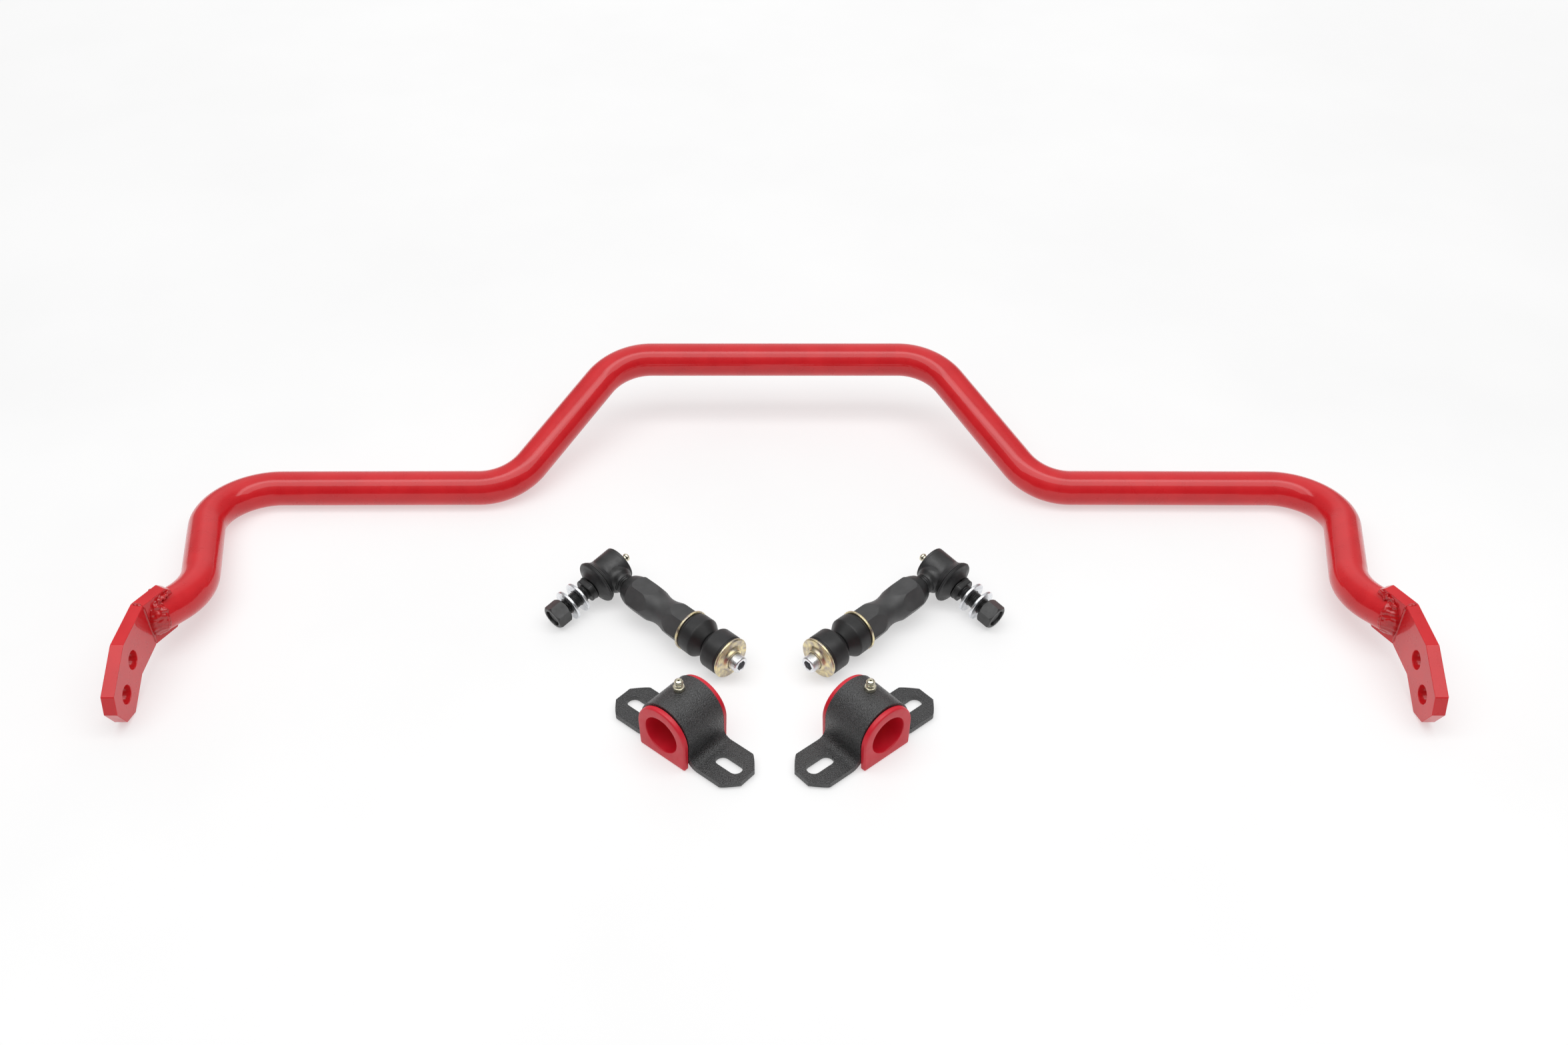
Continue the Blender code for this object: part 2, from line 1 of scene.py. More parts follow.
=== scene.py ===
from math import acos, asin, cos, pi, radians, sin, sqrt, tan

import bmesh
import bpy
from mathutils import Matrix, Vector, noise


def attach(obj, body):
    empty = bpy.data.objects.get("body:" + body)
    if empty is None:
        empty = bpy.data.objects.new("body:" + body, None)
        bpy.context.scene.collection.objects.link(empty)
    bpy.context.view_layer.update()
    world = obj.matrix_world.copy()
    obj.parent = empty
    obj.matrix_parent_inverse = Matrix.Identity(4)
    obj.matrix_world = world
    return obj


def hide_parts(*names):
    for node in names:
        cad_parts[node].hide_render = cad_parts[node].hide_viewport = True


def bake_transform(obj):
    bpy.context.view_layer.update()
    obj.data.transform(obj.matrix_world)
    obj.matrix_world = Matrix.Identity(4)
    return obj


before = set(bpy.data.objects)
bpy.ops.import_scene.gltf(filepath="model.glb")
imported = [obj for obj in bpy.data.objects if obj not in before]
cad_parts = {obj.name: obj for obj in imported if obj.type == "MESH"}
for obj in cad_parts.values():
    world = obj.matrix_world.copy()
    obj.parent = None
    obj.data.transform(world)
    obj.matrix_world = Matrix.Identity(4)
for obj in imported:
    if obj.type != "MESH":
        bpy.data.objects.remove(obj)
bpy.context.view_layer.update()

MM = 0.001

# The bar, the arms and where each loose piece lies: metres, as the CAD has them.
SIDE_Y = 87.05 * MM
BAR_R = 14.3 * MM
BAR_CORNERS = (
    ((137.4, 126.0, 60.0), 52.0), ((219.2, 0.0, 14.3), 50.0),
    ((470.0, -1.0, 14.3), 47.0), ((435.0, -141.5, 25.5), 56.0),
)
STRIP_W, STRIP_T = 38.1 * MM, 9.53 * MM
ARM_X, JOINT_Y, STRIP_Z = 454.9 * MM, SIDE_Y - 187.5 * MM, 32.6 * MM
TAB_TURN, TAB_LENGTH, TAB_CHAMFER, TUBE_END = radians(28.0), 25.5 * MM, 4.5 * MM, 9.5 * MM
HOLE_1_Y, HOLE_PITCH, HOLE_R = SIDE_Y - 223.5 * MM, 25.4 * MM, 6.9 * MM
DOGLEG, TIP_LENGTH, TIP_CHAMFER = radians(28.5), 43.0 * MM, 10.0 * MM
LINK_AT = (128.3 * MM, SIDE_Y - 114.6 * MM, 20.5 * MM)
LINK_YAW, LINK_DIP, STUD_DROOP = radians(43.3), radians(1.6), radians(10.5)
SADDLE_AT, SADDLE_YAW = (63.4 * MM, SIDE_Y - 269.2 * MM), radians(40.4)
# The brackets and bushings: millimetres.
BORE_R, BORE_Z, DOME_Z, DOME_R, DOME_WALL = 14.45, 21.8, 23.1, 22.4, 4.0
SADDLE_DEPTH, FLANGE_T, FLANGE_R = 35.0, 4.0, 22.0
FOOT_HALF, FOOT_LIFT, FOOT_T, FOOT_CHAMFER = 59.5, 1.5, 4.0, 10.5
SLOT_IN, SLOT_OUT, SLOT_R = 31.5, 53.5, 5.2
NIPPLE_SHIFT = 4.0
SIDES = ((-1, "left"), (1, "right"))
BEVEL_SEGMENTS, BEVEL_ANGLE = 3, radians(28.0)
FLOOR_HALF, FLOOR_DROP = 12.0, 0.2 * MM
# The camera that the photograph was taken from, and the studio's lights.
CAMERA_AT, CAMERA_TILT = (0.0, -0.8832, 0.7627), radians(39.0)
LENS_MM, SENSOR_MM, SHIFT_X = 33.67, 36.0, 0.006
LIGHTS = (
    ("softbox", (0, -0.45, 1.75), (0, -0.30, 0), (3.2, 1.5), 24),
    ("ridge", (0, -0.02, 1.70), (0, 0.0, 0), (3.2, 0.35), 5),
)


# ------------------------------------------------------------------ materials
def node(tree, kind, **inputs):
    n = tree.nodes.new(kind)
    for key, value in inputs.items():
        n.inputs[key.replace("_", " ")].default_value = value
    return n


def noise_at(tree, coords, scale, detail=3.0, rough=0.55):
    n = node(tree, "ShaderNodeTexNoise", Scale=scale, Detail=detail, Roughness=rough)
    tree.links.new(coords, n.inputs["Vector"])
    return n.outputs["Fac"]


def spread(tree, source, low, high, from_low=0.35, from_high=0.65):
    n = tree.nodes.new("ShaderNodeMapRange")
    tree.links.new(source, n.inputs["Value"])
    n.inputs["From Min"].default_value = from_low
    n.inputs["From Max"].default_value = from_high
    n.inputs["To Min"].default_value = low
    n.inputs["To Max"].default_value = high
    return n.outputs["Result"]


def tint(tree, fac, first, second):
    n = tree.nodes.new("ShaderNodeMix")
    n.data_type = "RGBA"
    tree.links.new(fac, n.inputs["Factor"])
    n.inputs["A"].default_value = (*first, 1.0)
    n.inputs["B"].default_value = (*second, 1.0)
    return n.outputs["Result"]


def finish(name, dark, light, patch, rough, bumps, metallic=0.0, coat=0.0, coat_rough=0.1,
           specular=0.5):
    """Principled material: two mixed tones, a roughness range and one or more bump noises.

    patch is the colour noise's scale; rough is (scale, low, high); each bump is
    (scale, detail, strength, distance in mm).
    """
    mat = bpy.data.materials.new(name)
    mat.use_nodes = True
    tree = mat.node_tree
    shader = tree.nodes["Principled BSDF"]
    coords = tree.nodes.new("ShaderNodeTexCoord").outputs["Object"]
    fac = spread(tree, noise_at(tree, coords, patch, 4.0), 0.0, 1.0)
    tree.links.new(tint(tree, fac, dark, light), shader.inputs["Base Color"])
    scale, low, high = rough
    tree.links.new(spread(tree, noise_at(tree, coords, scale), low, high), shader.inputs["Roughness"])
    shader.inputs["Metallic"].default_value = metallic
    shader.inputs["Coat Weight"].default_value = coat
    shader.inputs["Coat Roughness"].default_value = coat_rough
    shader.inputs["IOR"].default_value = 1.5
    shader.inputs["Specular IOR Level"].default_value = specular
    normal = None
    for scale, detail, strength, depth in bumps:
        bump = node(tree, "ShaderNodeBump", Strength=strength, Distance=depth * MM)
        tree.links.new(noise_at(tree, coords, scale, detail), bump.inputs["Height"])
        if normal:
            tree.links.new(normal, bump.inputs["Normal"])
        normal = bump.outputs["Normal"]
    if normal:
        tree.links.new(normal, shader.inputs["Normal"])
        if coat:
            tree.links.new(normal, shader.inputs["Coat Normal"])
    mat.diffuse_color = (*light, 1.0)
    return mat


RED = finish("red_powder_coat", (0.62, 0.012, 0.018), (0.69, 0.017, 0.023), 45.0, (90.0, 0.26, 0.34),
             [(240.0, 0.0, 0.025, 0.4)], coat=0.68, coat_rough=0.06, specular=0.15)
RED_WELD = finish("red_powder_coat_weld", (0.44, 0.007, 0.010), (0.58, 0.013, 0.016), 300.0,
                  (200.0, 0.22, 0.34), [(420.0, 3.0, 0.15, 0.5)], coat=0.9, coat_rough=0.04,
                  specular=0.2)
BLACK = finish("black_oxide", (0.012, 0.012, 0.012), (0.030, 0.030, 0.031), 120.0, (260.0, 0.32, 0.46),
               [(1400.0, 3.0, 0.16, 0.06)], specular=0.55)
HEX_GREY = finish("black_oxide_hex", (0.046, 0.046, 0.047), (0.062, 0.062, 0.063), 70.0,
                  (160.0, 0.40, 0.52), [(1700.0, 3.0, 0.12, 0.05)], specular=0.5)
TEXTURED = finish("textured_black", (0.005, 0.005, 0.005), (0.060, 0.060, 0.062), 1300.0,
                  (900.0, 0.20, 0.42), [(1250.0, 2.5, 1.0, 0.60), (450.0, 2.0, 0.30, 0.35)],
                  specular=0.7)
RUBBER = finish("black_rubber", (0.009, 0.009, 0.009), (0.018, 0.018, 0.019), 60.0, (140.0, 0.38, 0.52),
                [(900.0, 3.0, 0.15, 0.08)])
ZINC = finish("bright_zinc", (0.68, 0.70, 0.73), (0.90, 0.91, 0.93), 260.0, (320.0, 0.26, 0.42),
              [(1300.0, 2.0, 0.12, 0.05)], metallic=1.0)
GOLD = finish("yellow_zinc", (0.46, 0.41, 0.36), (0.90, 0.79, 0.46), 210.0, (260.0, 0.28, 0.50),
              [(800.0, 3.0, 0.35, 0.10)], metallic=1.0)
BRASSY = finish("yellowish_zinc", (0.66, 0.62, 0.48), (0.86, 0.82, 0.66), 300.0, (220.0, 0.22, 0.34),
                [(1300.0, 2.0, 0.10, 0.04)], metallic=1.0)
URETHANE = finish("red_urethane", (0.62, 0.008, 0.024), (0.70, 0.013, 0.032), 60.0, (300.0, 0.36, 0.46),
                  [(1600.0, 3.0, 0.14, 0.05), (160.0, 2.0, 0.05, 0.3)], specular=0.5)
NYLON = finish("natural_nylon", (0.70, 0.68, 0.62), (0.78, 0.76, 0.70), 120.0, (200.0, 0.45, 0.55),
               [(900.0, 2.0, 0.1, 0.05)])


# ------------------------------------------------------------------- building
def add(name, bm, mat, body, nodes=(), sharp=38.0, at=None, bevel=0.0):
    """Link a bmesh as a visible piece standing for CAD nodes.
    """
    bmesh.ops.remove_doubles(bm, verts=bm.verts, dist=2e-6)
    bmesh.ops.recalc_face_normals(bm, faces=bm.faces)
    if at is not None:
        bmesh.ops.transform(bm, matrix=at, verts=bm.verts)
    mesh = bpy.data.meshes.new(name)
    bm.to_mesh(mesh)
    bm.free()
    obj = bpy.data.objects.new(name, mesh)
    bpy.context.scene.collection.objects.link(obj)
    mesh.materials.append(mat)
    if bevel:
        mod = obj.modifiers.new("edges", "BEVEL")
        mod.width = bevel
        mod.segments = BEVEL_SEGMENTS
        mod.limit_method = "ANGLE"
        mod.angle_limit = BEVEL_ANGLE
        mod.use_clamp_overlap = True
        mod.harden_normals = False
        mesh.shade_smooth()
        obj.modifiers.new("normals", "WEIGHTED_NORMAL").keep_sharp = False
    else:
        mesh.shade_smooth()
        mesh.set_sharp_from_angle(angle=radians(sharp))
    if isinstance(body, tuple):
        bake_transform(obj)
    else:
        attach(obj, body)
    if nodes:
        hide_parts(*nodes)


def tool(bm, at=None):
    """Link a bmesh as a passing object, for a boolean or a remesh."""
    bmesh.ops.remove_doubles(bm, verts=bm.verts, dist=1e-6)
    bmesh.ops.recalc_face_normals(bm, faces=bm.faces)
    if at is not None:
        bmesh.ops.transform(bm, matrix=at, verts=bm.verts)
    mesh = bpy.data.meshes.new("tool")
    bm.to_mesh(mesh)
    bm.free()
    obj = bpy.data.objects.new("tool", mesh)
    bpy.context.scene.collection.objects.link(obj)
    return obj


def carve(bm, tools, operation="DIFFERENCE"):
    """Boolean a bmesh with tools; returns the result as a bmesh."""
    target = tool(bm)
    for cutter in tools:
        mod = target.modifiers.new("cut", "BOOLEAN")
        mod.operation = operation
        mod.solver = "EXACT"
        mod.object = cutter
    bpy.context.view_layer.update()
    graph = bpy.context.evaluated_depsgraph_get()
    mesh = bpy.data.meshes.new_from_object(target.evaluated_get(graph))
    out = bmesh.new()
    out.from_mesh(mesh)
    for obj in [target, *tools]:
        bpy.data.objects.remove(obj, do_unlink=True)
    return out


AXES = {
    "x": Matrix.Rotation(pi / 2, 4, "Y"),
    "y": Matrix.Rotation(-pi / 2, 4, "X"),
    "-y": Matrix.Rotation(pi / 2, 4, "X"),
    "z": Matrix.Identity(4),
}


def fillet(points, radius, closed=False, steps=4):
    """Round the corners of a 2-D polyline."""
    out, count = [], len(points)
    for i, (x, y) in enumerate(points):
        if not closed and i in (0, count - 1):
            out.append((x, y))
            continue
        here = Vector((x, y))
        ends = []
        for other in (Vector(points[i - 1]), Vector(points[(i + 1) % count])):
            leg = other - here
            ends.append(here + leg * min(radius / max(leg.length, 1e-6), 0.45))
        for k in range(steps + 1):
            t = k / steps
            p = ends[0] * (1 - t) ** 2 + here * 2 * t * (1 - t) + ends[1] * t ** 2
            out.append((p.x, p.y))
    return out


def rings(loops, closed=False, caps=True):
    """Skin a list of equal-length point loops."""
    bm = bmesh.new()
    made = [[bm.verts.new(p) for p in loop] for loop in loops]
    pairs = list(zip(made, made[1:]))
    if closed:
        pairs.append((made[-1], made[0]))
    count = len(made[0])
    for a, b in pairs:
        for i in range(count):
            j = (i + 1) % count
            bm.faces.new((a[i], a[j], b[j], b[i]))
    if caps and not closed:
        bm.faces.new(made[0])
        bm.faces.new(made[-1])
    return bm


def lathe(profile, axis="z", segments=72, closed=True, soft=0.0, phase=0.0):
    """Spin (radius, height) pairs in millimetres round an axis."""
    if soft:
        profile = fillet(profile, soft, closed)
    loops = [
        [(max(r, 0.02) * MM * cos(phase + 2 * pi * i / segments),
          max(r, 0.02) * MM * sin(phase + 2 * pi * i / segments), h * MM) for i in range(segments)]
        for r, h in profile
    ]
    bm = rings(loops, closed)
    bmesh.ops.transform(bm, matrix=AXES[axis], verts=bm.verts)
    return bm


def thread(radius, depth, pitch, low, high, axis, segments=40, per_turn=8):
    """Cylinder with a helical V thread, tapering out at both ends."""
    count = int((high - low) / pitch * per_turn)
    loops = []
    for k in range(count + 1):
        h = low + (high - low) * k / count
        loop = []
        for i in range(segments):
            turn = i / segments
            saw = abs(2 * ((h / pitch + turn) % 1.0) - 1)
            cut = min(1.0, max(0.0, 1.35 * (1 - saw) - 0.12))
            fade = min(1.0, (h - low) / pitch, (high - h) / pitch)
            r = (radius - depth * (cut * fade + (1 - fade))) * MM
            loop.append((r * cos(2 * pi * turn), r * sin(2 * pi * turn), h * MM))
        loops.append(loop)
    bm = rings(loops)
    bmesh.ops.transform(bm, matrix=AXES[axis], verts=bm.verts)
    return bm


def prism(outline, low, high):
    """Extrude a flat outline along Z."""
    return rings([[(x, y, low) for x, y in outline], [(x, y, high) for x, y in outline]])


def hexagon(across, turn=pi / 6):
    """Corners of a hexagon of a given width across its flats."""
    radius = across / 2 / cos(pi / 6)
    return [(radius * cos(turn + pi * i / 3), radius * sin(turn + pi * i / 3)) for i in range(6)]


def hex_bar(across, profile, low, high, axis, segments=96):
    """Hexagonal bar with its ends and waist turned to a profile, in millimetres."""
    bar = prism([(x * MM, y * MM) for x, y in hexagon(across)], low * MM, high * MM)
    bmesh.ops.transform(bar, matrix=AXES[axis], verts=bar.verts)
    cutter = tool(lathe(profile, axis, segments, closed=False, phase=0.8 * pi / segments))
    return carve(bar, [cutter], "INTERSECT")


def join(*parts):
    """Put several bmeshes in one."""
    whole = parts[0]
    for part in parts[1:]:
        mesh = bpy.data.meshes.new("part")
        part.to_mesh(mesh)
        part.free()
        whole.from_mesh(mesh)
        bpy.data.meshes.remove(mesh)
    return whole


# ------------------------------------------------------------------- bar tube
def tab_frame(side):
    """Local X back along the tab, Y up, Z across its thickness (outwards)."""
    back = Vector((-side * sin(TAB_TURN), cos(TAB_TURN), 0.0))
    out = Vector((side * cos(TAB_TURN), sin(TAB_TURN), 0.0))
    at = Vector((side * ARM_X, JOINT_Y, STRIP_Z))
    return Matrix((
        (back.x, 0, out.x, at.x), (back.y, 0, out.y, at.y), (0, 1, 0, at.z), (0, 0, 0, 1),
    ))


def bar_path(step=radians(3.0)):
    """The tube's centre line from the left joint to the right one, with its bends rounded."""
    half = [(Vector((x * MM, SIDE_Y + y * MM, z * MM)), r * MM) for (x, y, z), r in BAR_CORNERS]
    half.append((tab_frame(1) @ Vector((TUBE_END, 0, STRIP_T / 2)), 0.0))
    corners = [(Vector((-p.x, p.y, p.z)), r) for p, r in reversed(half)] + half
    points = [corners[0][0]]
    for (before, _), (corner, radius), (after, _) in zip(corners, corners[1:], corners[2:]):
        back, ahead = (before - corner).normalized(), (after - corner).normalized()
        turn = pi - acos(max(-1.0, min(1.0, back.dot(ahead))))
        centre = corner + (back + ahead).normalized() * (radius / cos(turn / 2))
        start = corner + back * radius * tan(turn / 2) - centre
        end = corner + ahead * radius * tan(turn / 2) - centre
        count = max(4, round(turn / step))
        for i in range(count + 1):
            a = i / count
            points.append(centre + (start * sin((1 - a) * turn) + end * sin(a * turn)) / sin(turn))
    points.append(corners[-1][0])
    return points


def sweep(points, radius, segments, lump=None):
    """Round sweep along points; lump(i, angle) may change the radius."""
    normal, loops = Vector((0, 0, 1)), []
    for i, point in enumerate(points):
        tangent = (points[min(i + 1, len(points) - 1)] - points[max(i - 1, 0)]).normalized()
        if abs(normal.dot(tangent)) > 0.95:
            normal = Vector((1, 0, 0))
        normal = (normal - tangent * normal.dot(tangent)).normalized()
        side = tangent.cross(normal)
        loops.append([
            point + (normal * cos(t) + side * sin(t)) * (lump(i, t) if lump else radius)
            for t in (2 * pi * k / segments for k in range(segments))
        ])
    return rings(loops)


path = bar_path()
add("bar", sweep(path, BAR_R, 56), RED, "bar", ["bar_tube"], sharp=60)


def organic(bm, voxel, shape):
    """Melt overlapping closed shapes into one smooth skin, then move it out by shape(point)."""
    obj = tool(bm)
    skin = obj.modifiers.new("skin", "REMESH")
    skin.mode = "VOXEL"
    skin.voxel_size = voxel
    relax = obj.modifiers.new("relax", "SMOOTH")
    relax.factor = 0.5
    relax.iterations = 7
    bpy.context.view_layer.update()
    graph = bpy.context.evaluated_depsgraph_get()
    mesh = bpy.data.meshes.new_from_object(obj.evaluated_get(graph))
    out = bmesh.new()
    out.from_mesh(mesh)
    out.normal_update()
    for vert, push in [(v, v.normal * shape(v.co)) for v in out.verts]:
        vert.co += push
    bpy.data.objects.remove(obj, do_unlink=True)
    return out


def bead(points, radius, step, seed, squash=0.22, ragged=0.25):
    """Lumpy weld bead along a polyline, in overlapping scales of the given step."""
    fine = []
    for a, b in zip(points, points[1:]):
        count = max(2, int((b - a).length / (0.35 * MM)))
        fine += [a.lerp(b, k / count) for k in range(count)]
    fine.append(points[-1])
    run = [0.0]
    for a, b in zip(fine, fine[1:]):
        run.append(run[-1] + (b - a).length)
    total = run[-1]

    def lump(i, angle):
        s = run[i]
        end = min(1.0, sqrt(max(0.02, min(s, total - s) / (radius * 1.2))))
        scale = 1 - squash * abs(2 * ((s / step) % 1.0) - 1)
        rough = 1 + ragged * noise.noise(Vector((s * 500 + seed, cos(angle) * 1.2, sin(angle) * 1.2)))
        return radius * end * scale * rough
    return sweep(fine, radius, 14, lump)


def build_joint(side, label):
    """One end of the bar: tab, arm plate and the welds between them."""
    at = tab_frame(side)
    half, chamfer = STRIP_W / 2, TAB_CHAMFER
    mitre = STRIP_T * tan(TAB_TURN / 2)
    loops = []
    for depth, start in ((0.0, 0.0), (STRIP_T, -mitre)):
        outline = [
            (start, -half), (TAB_LENGTH - chamfer, -half), (TAB_LENGTH, -half + chamfer),
            (TAB_LENGTH, half - chamfer), (TAB_LENGTH - chamfer, half), (start, half),
        ]
        loops.append([at @ Vector((x, y, depth)) for x, y in outline])
    add("tab_" + label, rings(loops), RED, "bar", ["tab_plate_" + label],
        bevel=0.7 * MM)

    # arm plate, doglegged down at the first hole
    run = Vector((0, -cos(DOGLEG), -sin(DOGLEG)))
    rise = Vector((0, -sin(DOGLEG), cos(DOGLEG)))
    bend = Vector((0, HOLE_1_Y, STRIP_Z))
    corner = half * tan(DOGLEG / 2)
    loops = []
    for x, start in ((side * ARM_X, 0.0), (side * (ARM_X + STRIP_T), mitre)):
        lay = Vector((x, 0, 0))
        joint = JOINT_Y + start - 0.02 * MM
        loops.append([
            lay + Vector((0, joint, STRIP_Z - half)),
            lay + bend + Vector((0, corner, -half)),
            lay + bend + run * (TIP_LENGTH - TIP_CHAMFER) - rise * half,
            lay + bend + run * TIP_LENGTH - rise * (half - TIP_CHAMFER),
            lay + bend + run * TIP_LENGTH + rise * (half - TIP_CHAMFER),
            lay + bend + run * (TIP_LENGTH - TIP_CHAMFER) + rise * half,
            lay + bend + Vector((0, -corner, half)),
            lay + Vector((0, joint, STRIP_Z + half)),
        ])
    drills = []
    for step in (0.0, HOLE_PITCH):
        hole = lathe([(HOLE_R / MM, -20), (HOLE_R / MM, 20)], "x", 64, closed=False)
        drills.append(tool(hole, Matrix.Translation(bend + run * step + Vector((side * ARM_X, 0, 0)))))
    add("arm_" + label, carve(rings(loops), drills), RED, "bar",
        ["arm_plate_" + label], bevel=0.55 * MM)

    # built-up weld over each half of the slotted tube end
    climb = (path[-1] - path[-2]).normalized().z
    for face in ("inner", "outer"):
        inner = face == "inner"
        wide, columns, rows = 13.6 * MM, 40, 14
        stand, reach = BAR_R + 0.5 * MM, 8.2 * MM
        skin = []
        for j in range(columns + 1):
            across = -wide + 2 * wide * j / columns
            span = sqrt(max(0.0, 1 - (across / (wide * 1.03)) ** 2))
            tall = max(0.8 * MM, sqrt(max(0.0, stand ** 2 - across ** 2)) - STRIP_T / 2)
            line = []
            for i in range(rows + 1):
                a = i / rows
                along = TUBE_END + across * climb + 1.8 * MM - a * (reach * span + 3.0 * MM)
                height = tall * (1 - a) ** 0.62 + 0.2 * MM
                line.append(at @ Vector((along, across, -height if inner else STRIP_T + height)))
            foot = 1.5 * MM if inner else STRIP_T - 1.5 * MM
            line.append(at @ Vector((along, across, foot)))
            line.append(at @ Vector((TUBE_END + across * climb + 1.8 * MM, across, foot)))
            skin.append(line)
        body = rings(skin)
        bmesh.ops.recalc_face_normals(body, faces=body.faces)
        melt = [body]
        for end in (-1, 1):
            depth = -0.2 * MM if inner else STRIP_T + 0.2 * MM
            lift = end * (sqrt(BAR_R ** 2 - (STRIP_T / 2) ** 2) + 0.2 * MM)
            melt.append(bead([
                at @ Vector((TUBE_END - 4.0 * MM, lift - end * 2.0 * MM, depth)),
                at @ Vector((TUBE_END + 5.0 * MM, lift + 5.0 * MM * climb, depth)),
                at @ Vector((TAB_LENGTH - 2.5 * MM, lift + 11.0 * MM * climb, depth)),
            ], 2.5 * MM, 3.2 * MM, 3.0 * end + side + 9.0 * inner, 0.22, 0.5))
        centre = at @ Vector((TUBE_END + 1.0 * MM, -12.0 * MM, 0.0))

        def ripple(point):
            swirl = (point - centre).length / (3.1 * MM) + 0.7 * noise.noise(point * 130)
            arc = abs(2 * (swirl % 1.0) - 1) ** 0.6
            high = (at.inverted() @ point).y / (12 * MM)
            lumps = (0.2 + 1.1 * max(0.0, high)) * MM * noise.noise(point * 330)
            return 0.34 * MM * (arc - 0.5) + lumps + 0.06 * MM * noise.noise(point * 1100)

        for part in melt:
            bmesh.ops.recalc_face_normals(part, faces=part.faces)
        add("weld_%s_%s_built" % (face, label), organic(join(*melt), 0.42 * MM, ripple), RED_WELD,
            "bar", ["weld_%s_%s" % (face, label)], sharp=180)

    # low cap bead over the mitre and a smooth seam down its inner corner
    cap = bead([at @ Vector((-mitre * k, half - 1.1 * MM, STRIP_T * k)) for k in (0.06, 0.5, 0.94)],
               1.9 * MM, 4.5 * MM, 20.0 + side, 0.06, 0.12)
    corner_x, corner_y = side * (ARM_X + 0.8 * MM), JOINT_Y + 0.3 * MM
    seam = bead([Vector((corner_x, corner_y, STRIP_Z + s * (half - 1.0 * MM))) for s in (1, 0, -1)],
                1.6 * MM, 7.0 * MM, 30.0 + side, 0.02, 0.08)
    add("joint_weld_" + label, join(cap, seam), RED_WELD, "bar", sharp=180)


for side, label in SIDES:
    build_joint(side, label)


# ------------------------------------------------------------------ end links
def nipple(name, body, frame_at, nodes, axis, base, shift=(0, 0, 0)):
    """Grease nipple: hexagonal foot, neck and ball nose with a small inlet."""
    foot = hex_bar(7.6, fillet([
        (0.02, 0), (3.6, 0), (4.4, 0.8), (4.4, 2.6), (3.7, 3.3), (0.02, 3.3),
    ], 0.2), -0.1, 3.4, "z", segments=48)
    nose = lathe([
        (0.6, 8.3), (0.8, 8.9), (1.5, 8.9), (2.6, 8.3), (3.2, 7.3), (3.1, 6.3), (2.5, 5.5), (2.4, 4.7),
        (2.8, 3.9), (3.2, 3.2), (0.6, 3.0),
    ], "z", 48, soft=0.35)
    bm = join(foot, nose)
    bmesh.ops.transform(bm, matrix=Matrix.Translation((0, 0, base * MM)), verts=bm.verts)
    bmesh.ops.transform(bm, matrix=Matrix.Translation(shift) @ AXES[axis], verts=bm.verts)
    add(name, bm, BRASSY, body, nodes, at=frame_at, sharp=32)


